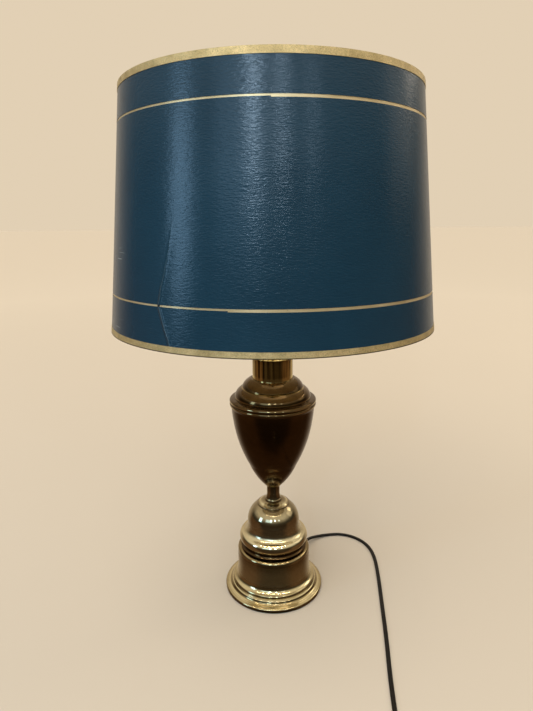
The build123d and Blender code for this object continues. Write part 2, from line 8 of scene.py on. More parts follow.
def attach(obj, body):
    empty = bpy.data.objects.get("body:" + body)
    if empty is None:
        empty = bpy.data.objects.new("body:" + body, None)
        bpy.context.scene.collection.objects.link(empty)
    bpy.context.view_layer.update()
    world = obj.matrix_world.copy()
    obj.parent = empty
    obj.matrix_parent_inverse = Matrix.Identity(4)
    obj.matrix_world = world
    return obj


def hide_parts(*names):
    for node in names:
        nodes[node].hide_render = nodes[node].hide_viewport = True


# Looks of the table lamp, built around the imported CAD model. Metres, +Z up, the lamp's axis is Z.

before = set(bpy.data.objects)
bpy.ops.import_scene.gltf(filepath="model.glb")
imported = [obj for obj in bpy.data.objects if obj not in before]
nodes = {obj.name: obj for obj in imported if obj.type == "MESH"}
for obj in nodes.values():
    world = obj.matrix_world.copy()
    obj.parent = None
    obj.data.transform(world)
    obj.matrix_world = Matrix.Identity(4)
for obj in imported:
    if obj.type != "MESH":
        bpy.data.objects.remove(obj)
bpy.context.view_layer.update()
scene = bpy.context.scene


# ---- Camera ----

CAMERA_PLACE = (0.0, -0.6926, 0.5163)
CAMERA_DOWN, CAMERA_TURN, CAMERA_ROLL = 13.84, 0.66, -0.5
CAMERA_LENS, SENSOR_WIDTH = 27.04, 36.0


def add_camera():
    """The viewer in front of the lamp, looking a little down on it."""
    camera = bpy.data.objects.new("camera", bpy.data.cameras.new("camera"))
    scene.collection.objects.link(camera)
    camera.data.sensor_width = SENSOR_WIDTH
    camera.data.lens = CAMERA_LENS
    turn = Matrix.Rotation(math.radians(CAMERA_TURN), 4, "Z")
    tilt = Matrix.Rotation(math.radians(90 - CAMERA_DOWN), 4, "X")
    roll = Matrix.Rotation(math.radians(CAMERA_ROLL), 4, "Z")
    camera.matrix_world = Matrix.Translation(CAMERA_PLACE) @ turn @ tilt @ roll
    scene.camera = camera


# ---- Small helpers for meshes ----

def link_mesh(name, mesh, body, material):
    """Put a finished mesh in the scene, shaded smooth and riding on a body."""
    for face in mesh.polygons:
        face.use_smooth = True
    piece = bpy.data.objects.new(name, mesh)
    scene.collection.objects.link(piece)
    piece.data.materials.append(material)
    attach(piece, body)
    return piece


def grid_faces(maker, rows, closed=True):
    """Join rows of vertices into faces; each row closes on itself unless told otherwise."""
    for low, high in zip(rows, rows[1:]):
        last = len(low) if closed else len(low) - 1
        for i in range(last):
            j = (i + 1) % len(low)
            maker.faces.new((low[i], low[j], high[j], high[i]))


def finished(maker, name):
    """Turn a bmesh into a mesh with outward faces."""
    bmesh.ops.recalc_face_normals(maker, faces=maker.faces)
    mesh = bpy.data.meshes.new(name)
    maker.to_mesh(mesh)
    maker.free()
    return mesh


def sweep(name, path, section):
    """A closed tube whose section, points of (sideways, up), follows a path and stays level."""
    maker = bmesh.new()
    rows = []
    for i, point in enumerate(path):
        ahead = (path[min(i + 1, len(path) - 1)] - path[max(i - 1, 0)]).normalized()
        side = ahead.cross(Vector((0, 0, 1))).normalized()
        up = side.cross(ahead)
        rows.append([maker.verts.new(point + side * a + up * b) for a, b in section])
    grid_faces(maker, rows)
    maker.faces.new(rows[0])
    maker.faces.new(rows[-1])
    return finished(maker, name)


# ---- Cord ----

CORD_WIDTH, CORD_DEPTH = 0.0054, 0.0032
FLOOR_Z = 0.0018
EXIT = Vector((0.0475, 0.08227, 0.008))
ROUTE = [
    EXIT, Vector((0.0555, 0.0961, 0.008)), Vector((0.0715, 0.109, 0.0044)),
    Vector((0.092, 0.1185, FLOOR_Z)), Vector((0.115, 0.1205, FLOOR_Z)),
    Vector((0.137, 0.1105, FLOOR_Z)), Vector((0.1535, 0.091, FLOOR_Z)),
    Vector((0.1605, 0.06, FLOOR_Z)), Vector((0.157, 0.008, FLOOR_Z)),
    Vector((0.1495, -0.058, FLOOR_Z)), Vector((0.143, -0.118, FLOOR_Z)),
    Vector((0.1345, -0.18, FLOOR_Z)), Vector((0.1285, -0.242, FLOOR_Z)),
    Vector((0.1242, -0.293, FLOOR_Z)),
]
COIL = Vector((0.086, -0.300, 0.0))
COIL_RADII = [0.0374, 0.0320, 0.0266]
COIL_TURNS, COIL_STEPS = 6.25, 16
COIL_SHIFT = 0.7  # share of a turn that keeps its radius before it moves over to the next
LAYER_GAP = 0.0001
PLUG_START = Vector((0.062, -0.3374, 0.0076))
PLUG_LEAD = [(0.016, -0.0022), (0.008, -0.0006), (0.0, 0.0)]
LOBE_TURN = 128  # degrees from the middle of a lobe to the groove


def coil_points():
    """Points of the put-away turns: inwards on the floor, then outwards on top of them."""
    radii = COIL_RADII + COIL_RADII[::-1]
    heights = [FLOOR_Z] * len(COIL_RADII) + [FLOOR_Z + CORD_DEPTH + LAYER_GAP] * len(COIL_RADII)
    last = len(radii) - 1
    shrink = math.cos(math.pi / COIL_STEPS)
    points = []
    for step in range(int(COIL_TURNS * COIL_STEPS) + 1):
        turn, share = divmod(step / COIL_STEPS, 1)
        here, after = min(int(turn), last), min(int(turn) + 1, last)
        ease = max(0.0, (share - COIL_SHIFT) / (1 - COIL_SHIFT))
        ease = ease * ease * (3 - 2 * ease)
        radius = radii[here] + (radii[after] - radii[here]) * ease
        height = heights[here] + (heights[after] - heights[here]) * ease
        angle = -2 * math.pi * step / COIL_STEPS
        flat = Vector((math.cos(angle), math.sin(angle), 0)) * radius / shrink
        points.append(COIL + flat + Vector((0, 0, height)))
    return points


def nurbs_line(points, detail):
    """Points along the smooth line that has these control points."""
    curve = bpy.data.curves.new("line", "CURVE")
    curve.dimensions = "3D"
    spline = curve.splines.new("NURBS")
    spline.points.add(len(points) - 1)
    for knot, point in zip(spline.points, points):
        knot.co = (*point, 1.0)
    spline.order_u = 3
    spline.use_endpoint_u = True
    spline.resolution_u = detail
    holder = bpy.data.objects.new("line", curve)
    mesh = bpy.data.meshes.new_from_object(holder)
    line = [vertex.co.copy() for vertex in mesh.vertices]
    bpy.data.objects.remove(holder)
    bpy.data.meshes.remove(mesh)
    bpy.data.curves.remove(curve)
    return line


def zip_section(width, depth, count=14):
    """Section of a two-core cord: two round lobes with a groove between them."""
    lobe = depth / 2
    offset = width / 2 - lobe
    right = []
    for i in range(count + 1):
        angle = math.radians(LOBE_TURN * (2 * i / count - 1))
        right.append((offset + lobe * math.cos(angle), lobe * math.sin(angle)))
    return right + [(-a, -b) for a, b in right]


# ---- Small helpers for materials ----

MIX_SHARE, MIX_FIRST, MIX_SECOND, MIX_OUT = 0, 6, 7, 2  # places of the colour sockets on a mix node


class Shader:
    """A material's node tree. Each call adds a node and gives back its output."""

    def __init__(self, name, **sockets):
        self.material = bpy.data.materials.new(name)
        self.material.use_nodes = True
        self.tree = self.material.node_tree
        self.surface = self.tree.nodes["Principled BSDF"]
        for key, value in sockets.items():
            self.put(self.surface.inputs[key.replace("_", " ")], value)

    def put(self, socket, value):
        if isinstance(value, bpy.types.NodeSocket):
            self.tree.links.new(value, socket)
        else:
            socket.default_value = value

    def set(self, key, value):
        self.put(self.surface.inputs[key], value)

    def node(self, kind, settings=None, **inputs):
        made = self.tree.nodes.new("ShaderNode" + kind)
        for key, value in (settings or {}).items():
            setattr(made, key, value)
        for key, value in inputs.items():
            self.put(made.inputs[key.replace("_", " ")], value)
        return made

    def math(self, operation, first, second=0.0, third=0.0, clamp=False):
        made = self.node("Math", {"operation": operation, "use_clamp": clamp})
        for socket, value in zip(made.inputs, (first, second, third)):
            self.put(socket, value)
        return made.outputs[0]

    def place(self):
        return self.node("TexCoord").outputs["Object"]

    def split(self):
        return self.node("SeparateXYZ", Vector=self.place()).outputs

    def stretch(self, vector, scale):
        return self.node("Mapping", Vector=vector, Scale=scale).outputs[0]

    def noise(self, vector, scale, detail=3.0, roughness=0.5, distortion=0.0):
        return self.node(
            "TexNoise", Vector=vector, Scale=scale, Detail=detail, Roughness=roughness,
            Distortion=distortion).outputs[0]

    def cells(self, vector, scale):
        return self.node("TexVoronoi", Vector=vector, Scale=scale).outputs["Distance"]

    def ramp(self, value, *stops):
        """Map a value to a colour through stops of (place, colour)."""
        made = self.node("ValToRGB", Fac=value)
        band = made.color_ramp
        band.elements[0].position, band.elements[1].position = stops[0][0], stops[-1][0]
        middle = [band.elements.new(place) for place, _ in stops[1:-1]]
        last = band.elements[len(stops) - 1]
        for element, (_, color) in zip([band.elements[0], *middle, last], stops):
            element.color = (*color, 1) if hasattr(color, "__len__") else (color,) * 3 + (1,)
        return made.outputs[0]

    def mix(self, share, first, second):
        made = self.node("Mix", {"data_type": "RGBA"})
        self.put(made.inputs[MIX_SHARE], share)
        for place, color in ((MIX_FIRST, first), (MIX_SECOND, second)):
            plain = not isinstance(color, bpy.types.NodeSocket)
            self.put(made.inputs[place], (*color, 1) if plain else color)
        return made.outputs[MIX_OUT]

    def rings(self):
        """Radius and height, so that a texture runs round the lamp's axis."""
        x, y, z = self.split()
        across = self.math("ADD", self.math("MULTIPLY", x, x), self.math("MULTIPLY", y, y))
        return self.node("CombineXYZ", X=self.math("SQRT", across), Y=0.0, Z=z).outputs[0]

    def bump(self, height, strength, distance, under=None):
        made = self.node("Bump", Height=height, Strength=strength, Distance=distance)
        if under is not None:
            self.put(made.inputs["Normal"], under)
        return made.outputs[0]


# ---- Materials ----

def brass(name, wear_and_light, gloss, cloudy=0.35, turned=0.5, painted_streaks=0.0, colors=None, satin=None):
    """Old brass. A level runs with height, as pairs of (mm, level): 0 is dark, 1 is bright. The level
    stands for tarnish and wear, and also for painted light: highlights on edges, shade in undercuts and
    reflections of the room.

    Satin is a height range in mm and how much rougher the metal is there.
    """
    shader = Shader(name, Metallic=1.0)
    place = shader.place()
    z = shader.split()[2]
    cloud = shader.noise(place, 34.0, 5.0, 0.62, 0.6)
    fine = shader.noise(place, 260.0, 3.0, 0.6)
    low, high = wear_and_light[0][0] / 1000, wear_and_light[-1][0] / 1000
    share = shader.math("DIVIDE", shader.math("SUBTRACT", z, low), high - low, clamp=True)
    level = shader.ramp(share, *[((mm / 1000 - low) / (high - low), worn_and_lit) for mm, worn_and_lit in wear_and_light])
    level = shader.math("MULTIPLY_ADD", cloud, cloudy, shader.math("SUBTRACT", level, cloudy * 0.75))
    level = shader.math("MULTIPLY_ADD", fine, cloudy * 0.5, level)
    # Vertical streaks, lighter and darker: painted reflections of the room in the polished metal.
    if painted_streaks:
        runs = shader.noise(shader.stretch(place, (260.0, 260.0, 6.0)), 1.0, 2.0, 0.6)
        level = shader.math("MULTIPLY_ADD", runs, painted_streaks, shader.math("SUBTRACT", level, painted_streaks * 0.5))
    tarnish_and_shade, brown, olive, gold = colors or (BLACK, BROWN, OLIVE, GOLD)
    color = shader.ramp(level, (0.0, tarnish_and_shade), (0.33, brown), (0.66, olive), (1.0, gold))
    specks = shader.ramp(shader.cells(place, 420.0), (0.04, 1.0), (0.13, 0.0))
    seldom = shader.ramp(shader.noise(place, 55.0, 2.0), (0.50, 0.0), (0.64, 1.0))
    pits = shader.math("MULTIPLY", shader.math("MULTIPLY", specks, seldom), 0.8, clamp=True)
    color = shader.mix(pits, color, tarnish_and_shade)
    lines = shader.noise(shader.rings(), 900.0, 3.0, 0.7)
    color = shader.mix(shader.math("MULTIPLY", lines, 0.3 * turned), color, tarnish_and_shade)
    shader.set("Base Color", color)
    rough = shader.math("MULTIPLY_ADD", shader.math("SUBTRACT", 1.0, level, clamp=True), 0.07, gloss)
    if satin:
        low, high, extra = satin
        middle, half = (low + high) / 2000, (high - low) / 2000
        away = shader.math("DIVIDE", shader.math("ABSOLUTE", shader.math("SUBTRACT", z, middle)), half)
        inside = shader.math("MULTIPLY", shader.math("SUBTRACT", 1.0, away), 4.0, clamp=True)
        rough = shader.math("MULTIPLY_ADD", inside, extra, rough)
    shader.set("Roughness", shader.math("MULTIPLY_ADD", fine, 0.06, rough))
    dents = shader.bump(cloud, 0.16, 0.0010)
    spun = shader.bump(lines, 0.16 * turned, 0.0003, dents)
    shader.set("Normal", shader.bump(pits, 0.2, 0.0002, spun))
    return shader.material


CREASE_TURN, CREASE_BEND = math.radians(-35.0), 0.437
CREASE_RISE, CREASE_DROP = 1.1, -2.1  # radians per metre above and below the bend
CREASE_TOP, CREASE_FADE = 0.535, 0.09
CREASE_WANDER = 0.02
SCRATCH_TURN, SCRATCH_HALF = -1.05, 0.42
SCRATCH_TOP, SCRATCH_FADE = 0.52, 0.06
# Height below which the tape takes painted shade, and how far that shade fades in.
TAPE_EDGE, TAPE_SHADE_FADE = 0.3929, 0.0008


def crease_share(shader, half):
    """How near a spot is to the crease up the left of the shade, from 0 to 1, with its turn and height."""
    x, y, z = shader.split()
    around = shader.math("ARCTAN2", x, shader.math("MULTIPLY", y, -1.0))
    rise = shader.math("SUBTRACT", z, CREASE_BEND)
    above, below = (shader.math("MULTIPLY", rise, lean) for lean in (CREASE_RISE, CREASE_DROP))
    bend = shader.math("MAXIMUM", above, below)
    wobble = shader.noise(shader.place(), 40.0, 2.0)
    wander = shader.math("MULTIPLY_ADD", wobble, CREASE_WANDER, -CREASE_WANDER / 2)
    path = shader.math("ADD", CREASE_TURN, shader.math("ADD", bend, wander))
    off = shader.math("ABSOLUTE", shader.math("SUBTRACT", around, path))
    near = shader.math("SUBTRACT", 1.0, shader.math("DIVIDE", off, half), clamp=True)
    fade = shader.math("DIVIDE", shader.math("SUBTRACT", CREASE_TOP, z), CREASE_FADE, clamp=True)
    return shader.math("MULTIPLY", near, fade), around, z


def shade_paper():
    """Laminated paper with a fine sideways crinkle, and a crease and a few scratches low on the left."""
    shader = Shader("teal_paper")
    place = shader.place()
    cloud = shader.noise(place, 11.0, 4.0, 0.55)
    grain = shader.noise(shader.stretch(place, (90.0, 90.0, 1100.0)), 1.0, 4.0, 0.65)
    crinkle = shader.noise(shader.stretch(place, (190.0, 190.0, 640.0)), 1.0, 2.0, 0.55, 0.4)
    color = shader.ramp(cloud, (0.3, (0.0050, 0.027, 0.050)), (0.7, (0.0074, 0.035, 0.063)))
    color = shader.mix(shader.math("MULTIPLY", grain, 0.3), color, (0.012, 0.049, 0.084))

    fold, around, z = crease_share(shader, 0.020)
    line = crease_share(shader, 0.0045)[0]
    color = shader.mix(shader.math("MULTIPLY", line, 0.24), color, (0.12, 0.19, 0.23))

    run = shader.noise(shader.stretch(place, (35.0, 35.0, 800.0)), 1.0, 1.0, 0.3)
    thin = shader.ramp(run, (0.745, 0.0), (0.775, 1.0))
    off = shader.math("DIVIDE", shader.math("SUBTRACT", around, SCRATCH_TURN), SCRATCH_HALF)
    left = shader.math("SUBTRACT", 1.0, shader.math("ABSOLUTE", off), clamp=True)
    low = shader.math("DIVIDE", shader.math("SUBTRACT", SCRATCH_TOP, z), SCRATCH_FADE, clamp=True)
    mark = shader.math("MULTIPLY", shader.math("MULTIPLY", thin, left), low)
    color = shader.mix(shader.math("MULTIPLY", mark, 1.2, clamp=True), color, (0.24, 0.28, 0.28))

    shader.set("Base Color", color)
    shader.set("Specular IOR Level", 0.42)
    shader.set("Roughness", shader.math("MULTIPLY_ADD", grain, 0.07, 0.19))
    relief = shader.bump(crinkle, 0.28, 0.0009)
    relief = shader.bump(grain, 0.10, 0.0003, relief)
    relief = shader.bump(shader.math("POWER", fold, 2.0), 0.6, 0.0022, relief)
    relief = shader.bump(shader.noise(place, 9.0, 2.0), 0.14, 0.010, relief)
    shader.set("Normal", relief)
    return shader.material


def gold_tape():
    """Embossed gilt paper tape, with painted shade darkening it along the shade's bottom edge."""
    shader = Shader("gold_tape", Metallic=0.6)
    place = shader.place()
    crumbs = shader.cells(place, 1900.0)
    cloud = shader.noise(place, 70.0, 4.0, 0.6)
    speck = shader.noise(place, 1500.0, 3.0, 0.7)
    color = shader.ramp(cloud, (0.3, (0.52, 0.39, 0.17)), (0.7, (0.84, 0.66, 0.33)))
    color = shader.mix(shader.ramp(speck, (0.38, 0.7), (0.50, 0.0)), color, (0.16, 0.11, 0.042))
    color = shader.mix(shader.ramp(crumbs, (0.05, 0.6), (0.3, 0.0)), color, (0.90, 0.76, 0.46))
    # Painted shade: below a set height the tape darkens, fading in over a short distance.
    below = shader.math("SUBTRACT", TAPE_EDGE, shader.split()[2])
    under = shader.math("DIVIDE", below, TAPE_SHADE_FADE, clamp=True)
    shader.set("Base Color", shader.mix(under, color, (0.020, 0.014, 0.007)))
    shader.set("Roughness", shader.math("MULTIPLY_ADD", cloud, 0.2, 0.30))
    relief = shader.bump(crumbs, 0.5, 0.0004)
    shader.set("Normal", shader.bump(cloud, 0.3, 0.0008, relief))
    return shader.material


def gold_line():
    """Smooth gilt foil that shows as the two lines, broken where the crease crosses it."""
    shader = Shader("gold_foil", Metallic=0.6)
    place = shader.place()
    cloud = shader.noise(shader.stretch(place, (30.0, 30.0, 300.0)), 1.0, 4.0, 0.6)
    color = shader.ramp(cloud, (0.3, (0.62, 0.47, 0.24)), (0.7, (0.86, 0.70, 0.42)))
    chip = shader.ramp(shader.noise(place, 160.0, 3.0, 0.7), (0.70, 0.0), (0.73, 1.0))
    nick = shader.math("MULTIPLY", crease_share(shader, 0.012)[0], 2.0, clamp=True)
    broken = shader.math("MAXIMUM", nick, chip)
    shader.set("Base Color", shader.mix(broken, color, (0.030, 0.030, 0.026)))
    shader.set("Roughness", shader.math("MULTIPLY_ADD", cloud, 0.2, 0.3))
    shader.set("Normal", shader.bump(cloud, 0.2, 0.0004))
    return shader.material


def liner():
    """White styrene inside of the shade, a little yellowed, with the faint marks of rolling."""
    shader = Shader("white_liner")
    place = shader.place()
    cloud = shader.noise(place, 13.0, 4.0, 0.55)
    fine = shader.noise(shader.stretch(place, (900.0, 900.0, 120.0)), 1.0, 3.0)
    color = shader.ramp(cloud, (0.3, (0.70, 0.65, 0.53)), (0.72, (0.80, 0.77, 0.68)))
    shader.set("Base Color", shader.mix(shader.math("MULTIPLY", fine, 0.12), color, (0.55, 0.50, 0.38)))
    shader.set("Roughness", 0.5)
    shader.set("Normal", shader.bump(fine, 0.12, 0.0003))
    return shader.material


def plain_metal(name, color, rough, size=600.0, dark=(0.05, 0.04, 0.03), strength=0.15):
    """Plated or cast metal with light soiling and fine scratches."""
    shader = Shader(name, Metallic=1.0)
    place = shader.place()
    fine = shader.noise(shader.stretch(place, (1.0, 1.0, 4.0)), size, 4.0, 0.65)
    cloud = shader.noise(place, 70.0, 3.0, 0.6)
    soil = shader.ramp(cloud, (0.45, 0.0), (0.8, 0.55))
    tint = shader.mix(soil, color, dark)
    shader.set("Base Color", shader.mix(shader.math("MULTIPLY", fine, 0.25), tint, dark))
    shader.set("Roughness", shader.math("MULTIPLY_ADD", cloud, 0.18, rough))
    shader.set("Normal", shader.bump(fine, strength, 0.0003))
    return shader.material


def moulded(name, low, high, rough, size=300.0, strength=0.12, coat=0.0, shine=0.5):
    """Moulded plastic, paint or glaze with a faint mottle and grain."""
    shader = Shader(name)
    place = shader.place()
    cloud = shader.noise(place, size / 5, 3.0, 0.6)
    fine = shader.noise(place, size * 4, 3.0, 0.6)
    shader.set("Base Color", shader.ramp(cloud, (0.3, low), (0.7, high)))
    shader.set("Roughness", shader.math("MULTIPLY_ADD", fine, 0.14, rough))
    shader.set("Normal", shader.bump(fine, strength, 0.0002))
    shader.set("Coat Weight", coat)
    shader.set("Specular IOR Level", shine)
    return shader.material


def felt():
    """Green felt: matted short fibres."""
    shader = Shader("green_felt")
    place = shader.place()
    fibres = shader.noise(place, 700.0, 6.0, 0.8, 1.5)
    cloud = shader.noise(place, 45.0, 3.0)
    color = shader.ramp(fibres, (0.3, (0.010, 0.040, 0.018)), (0.7, (0.035, 0.115, 0.050)))
    shader.set("Base Color", shader.mix(shader.math("MULTIPLY", cloud, 0.3), color, (0.05, 0.07, 0.04)))
    shader.set("Roughness", 0.95)
    shader.set("Sheen Weight", 0.5)
    shader.set("Normal", shader.bump(fibres, 0.7, 0.0006))
    return shader.material


def frosted_bulb():
    """Soft white coated glass."""
    shader = Shader("bulb_white")
    place = shader.place()
    cloud = shader.noise(place, 90.0, 3.0)
    color = shader.ramp(cloud, (0.35, (0.80, 0.79, 0.75)), (0.7, (0.88, 0.87, 0.84)))
    shader.set("Base Color", color)
    shader.set("Roughness", shader.math("MULTIPLY_ADD", cloud, 0.08, 0.22))
    shader.set("Subsurface Weight", 0.15)
    shader.set("Subsurface Scale", 0.004)
    shader.set("Normal", shader.bump(shader.noise(place, 1500.0, 2.0), 0.04, 0.0002))
    return shader.material


# Brass colours from bright to dark, then for each turned piece a level at each height in mm. The level is
# part wear and tarnish, part painted light: painted highlights on rims and ridges, painted shade in
# undercuts and painted reflections of the dark room.
GOLD = (0.80, 0.68, 0.40)
OLIVE = (0.44, 0.34, 0.17)
BROWN = (0.17, 0.105, 0.042)
BLACK = (0.030, 0.017, 0.007)

# Foot: the bright rings on the ridges at about 7 and 12 mm are painted highlights as well as wear; it is
# darker along the bottom edge.
FOOT_WEAR_AND_LIGHT = [
    (1.5, 0.40), (4.0, 0.75), (6.6, 0.8), (7.4, 1.0), (8.2, 0.65), (11.4, 0.8), (12.2, 1.0), (13.0, 0.65),
    (20.0, 0.95), (24.0, 0.95), (27.0, 0.90), (45.0, 0.85), (58.0, 0.62), (60.5, 0.85), (64.5, 0.5)]
# Dome: the dark band from 64 to 72 mm under the lip is painted shade and painted reflection; the bright
# lip is partly a painted highlight.
DOME_WEAR_AND_LIGHT = [
    (64.0, 0.1), (72.0, 0.15), (74.5, 0.70), (76.5, 1.0), (85.0, 1.0), (88.0, 0.9),
    (92.0, 0.85), (105.0, 0.80), (122.0, 0.72), (128.5, 0.60), (130.0, 0.35), (133.0, 0.95), (135.0, 0.5),
    (146.0, 0.75), (156.5, 0.45)]
# Cover: the bright arcs on the tier edges are painted highlights; the dark level between them is a painted
# reflection of the shade's dark inside.
COVER_WEAR_AND_LIGHT = [
    (276.0, 0.20), (279.2, 0.22), (280.4, 1.2), (281.6, 0.20), (284.2, 0.25), (285.4, 1.2), (286.6, 0.25),
    (289.0, 0.20), (290.5, 1.1), (292.0, 0.24), (302.0, 0.30), (303.6, 1.1), (305.0, 0.2), (315.4, 0.30)]
DOME_COLORS = (BLACK, BROWN, (0.42, 0.345, 0.205), (0.88, 0.77, 0.49))
# Neck: the bright foot from 315 to 318.5 mm is a painted highlight.
NECK_WEAR_AND_LIGHT = [
    (315.0, 1.2), (318.5, 1.2), (321.5, 0.78), (338.0, 0.75), (343.5, 0.6), (345.5, 1.0), (350.5, 0.8)]
NECK_COLORS = (BLACK, (0.18, 0.11, 0.035), (0.52, 0.38, 0.14), (0.95, 0.76, 0.34))
# Urn: the near-black body is a painted reflection of the dark room as well as tarnish.
URN_WEAR_AND_LIGHT = [(156.0, 0.7), (160.0, 0.6), (168.0, 0.30), (200.0, 0.20), (268.0, 0.20), (277.0, 0.30)]

MATERIALS = {
    "foot_brass": brass("foot_brass", FOOT_WEAR_AND_LIGHT, 0.09, 0.30, 0.8, satin=(24.0, 60.0, 0.17)),
    "dome_brass": brass(
        "dome_brass", DOME_WEAR_AND_LIGHT, 0.05, 0.25, 0.5, colors=DOME_COLORS, satin=(86.0, 112.0, 0.13)),
    "urn_brass": brass("urn_brass", URN_WEAR_AND_LIGHT, 0.08, 0.25, 0.3),
    "cover_brass": brass("cover_brass", COVER_WEAR_AND_LIGHT, 0.03, 0.3, 0.5),
    "neck_brass": brass("neck_brass", NECK_WEAR_AND_LIGHT, 0.05, 0.2, 0.6, painted_streaks=3.0, colors=NECK_COLORS),
    "bright_brass": brass("bright_brass", [(0.0, 1.0), (700.0, 1.0)], 0.15, 0.4, 0.4),
    "teal_paper": shade_paper(),
    "gold_tape": gold_tape(),
    "gold_foil": gold_line(),
    "white_liner": liner(),
    "nickel": plain_metal("nickel", (0.62, 0.60, 0.56), 0.22),
    "zinc_steel": plain_metal("zinc_steel", (0.52, 0.53, 0.54), 0.34, 900.0),
    "cast_iron": plain_metal("cast_iron", (0.10, 0.095, 0.09), 0.6, 350.0, (0.09, 0.04, 0.02), 0.6),
    "phenolic": moulded("phenolic", (0.012, 0.010, 0.009), (0.030, 0.022, 0.018), 0.34),
    "knob_brown": moulded("knob_brown", (0.030, 0.014, 0.008), (0.055, 0.026, 0.014), 0.25, coat=0.3),
    "fibre_sleeve": moulded("fibre_sleeve", (0.20, 0.13, 0.07), (0.31, 0.21, 0.12), 0.8, 500.0, 0.4),
    "black_glass": moulded("black_glass", (0.006, 0.006, 0.007), (0.014, 0.013, 0.012), 0.12),
    "cord_brown": moulded(
        "cord_brown", (0.0030, 0.0018, 0.0012), (0.0070, 0.0040, 0.0025), 0.38, 260.0, 0.25, shine=0.22),
    "bulb_white": frosted_bulb(),
    "green_felt": felt(),
}

FINISHES = {
    "green_felt": ["felt_pad"],
    "foot_brass": ["foot_shell"],
    "dome_brass": ["spacer_ring", "dome_shell", "shoulder_ring", "stem"],
    "urn_brass": ["urn_body"],
    "cover_brass": ["urn_rim", "urn_cover"],
    "neck_brass": ["neck_tube", "neck_cap", "check_ring"],
    "bright_brass": [
        "socket_cap", "socket_shell", "harp_stud", "finial", "finial_bush", "ferrule_left",
        "ferrule_right", "screw_shell", "bulb_cap"],
    "cast_iron": ["base_weight"],
    "zinc_steel": ["bottom_washer", "bottom_nut", "threaded_rod", "saddle_nut", "socket_set_screw"],
    "nickel": [
        "harp_saddle", "harp_wire", "harp_feet", "terminal_screws", "centre_contact", "switch_shaft",
        "bulb_contact", "top_ring", "bottom_ring", "spider", "plug_blades"],
    "phenolic": ["socket_interior"],
    "knob_brown": ["switch_knob"],
    "fibre_sleeve": ["socket_liner"],
    "black_glass": ["bulb_insulator"],
    "bulb_white": ["bulb_glass"],
    "teal_paper": ["band_top", "band_middle", "band_bottom"],
    "gold_foil": ["gold_underlay"],
    "gold_tape": ["top_tape", "bottom_tape"],
    "white_liner": ["shade_liner"],
    "cord_brown": [
        "cord_bushing", "inner_lead", "lamp_cord", "cord_coil", "coil_tie", "cord_tail", "plug_body"],
}


def finish_nodes():
    """Give every CAD node its material."""
    for finish, names in FINISHES.items():
        for name in names:
            slots = nodes[name].data.materials
            if not slots:
                slots.append(MATERIALS[finish])
            for i in range(len(slots)):
                slots[i] = MATERIALS[finish]


SHADE_FOOT, SHADE_RISE = 0.3916, 0.2764
PAPER_RADIUS, PAPER_NARROWS = 0.2032, 0.0267
SEAM_FOOT, SEAM_RISE = 0.3990, 0.2620
SEAM_HALF, SEAM_ROWS = 0.006, 40
PROUD, SUNK = 0.00035, -0.0001
SEAM_PROFILE = [(-1, SUNK), (-0.96, PROUD), (0, PROUD), (0.96, PROUD), (1, SUNK)]


def add_seam():
    """The lap of the paper up the back of the shade, between the two tapes."""
    maker = bmesh.new()
    rows = []
    for i in range(SEAM_ROWS + 1):
        z = SEAM_FOOT + SEAM_RISE * i / SEAM_ROWS
        radius = PAPER_RADIUS - PAPER_NARROWS * (z - SHADE_FOOT) / SHADE_RISE
        row = []
        for side, out in SEAM_PROFILE:
            turn, reach = math.pi / 2 - side * SEAM_HALF / radius, radius + out
            row.append(maker.verts.new((reach * math.cos(turn), reach * math.sin(turn), z)))
        rows.append(row)
    grid_faces(maker, rows, closed=False)
    link_mesh("shade_seam", finished(maker, "shade_seam"), "shade", MATERIALS["teal_paper"])


def add_cord():
    """The flat two-core cord with its put-away turns, led into its plug."""
    tail = [PLUG_START + Vector((x, 0, z)) for x, z in PLUG_LEAD]
    path = nurbs_line(ROUTE + coil_points() + tail, 5)
    mesh = sweep("power_cord", path, zip_section(CORD_WIDTH, CORD_DEPTH))
    cord = link_mesh("power_cord", mesh, "lamp", MATERIALS["cord_brown"])
    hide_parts("lamp_cord", "cord_coil", "cord_tail")


# ---- Floor, lights and surroundings ----

FLOOR_HALF = 60.0
FLOOR_NEAR, FLOOR_FAR = (0.56, 0.49, 0.405), (0.705, 0.625, 0.522)
FLOOR_FADE = 4.0


def add_floor():
    """A plain floor that grows paler away from the lamp, where less light falls on it."""
    maker = bmesh.new()
    corners = ((-1, -1), (1, -1), (1, 1), (-1, 1))
    maker.faces.new([maker.verts.new((x * FLOOR_HALF, y * FLOOR_HALF, 0)) for x, y in corners])
    floor = bpy.data.objects.new("floor", finished(maker, "floor"))
    scene.collection.objects.link(floor)
    shader = Shader("floor", Roughness=0.8)
    away = shader.node("VectorMath", {"operation": "LENGTH"}, Vector=shader.place()).outputs["Value"]
    cloud = shader.math("MULTIPLY_ADD", shader.noise(shader.place(), 3.0, 3.0), 0.2, away)
    share = shader.math("DIVIDE", cloud, FLOOR_FADE)
    shader.set("Base Color", shader.ramp(share, (0.08, FLOOR_NEAR), (0.9, FLOOR_FAR)))
    floor.data.materials.append(shader.material)
    floor.visible_glossy = False


AIM = Vector((0, 0, 0.4))


def add_light(name, turn, height, distance, size, power, color, diffuse=True):
    """A soft oblong light aimed at the lamp; turn is in degrees to the right of the front.

    With diffuse off, it only shows in what shines.
    """
    data = bpy.data.lights.new(name, "AREA")
    data.shape = "RECTANGLE"
    data.size, data.size_y = size
    data.energy = power
    data.color = color
    light = bpy.data.objects.new(name, data)
    light.visible_diffuse = diffuse
    scene.collection.objects.link(light)
    angle = math.radians(turn)
    place = Vector((math.sin(angle) * distance, -math.cos(angle) * distance, height))
    light.location = place
    light.rotation_mode = "QUATERNION"
    light.rotation_quaternion = (place - AIM).to_track_quat("Z", "Y")


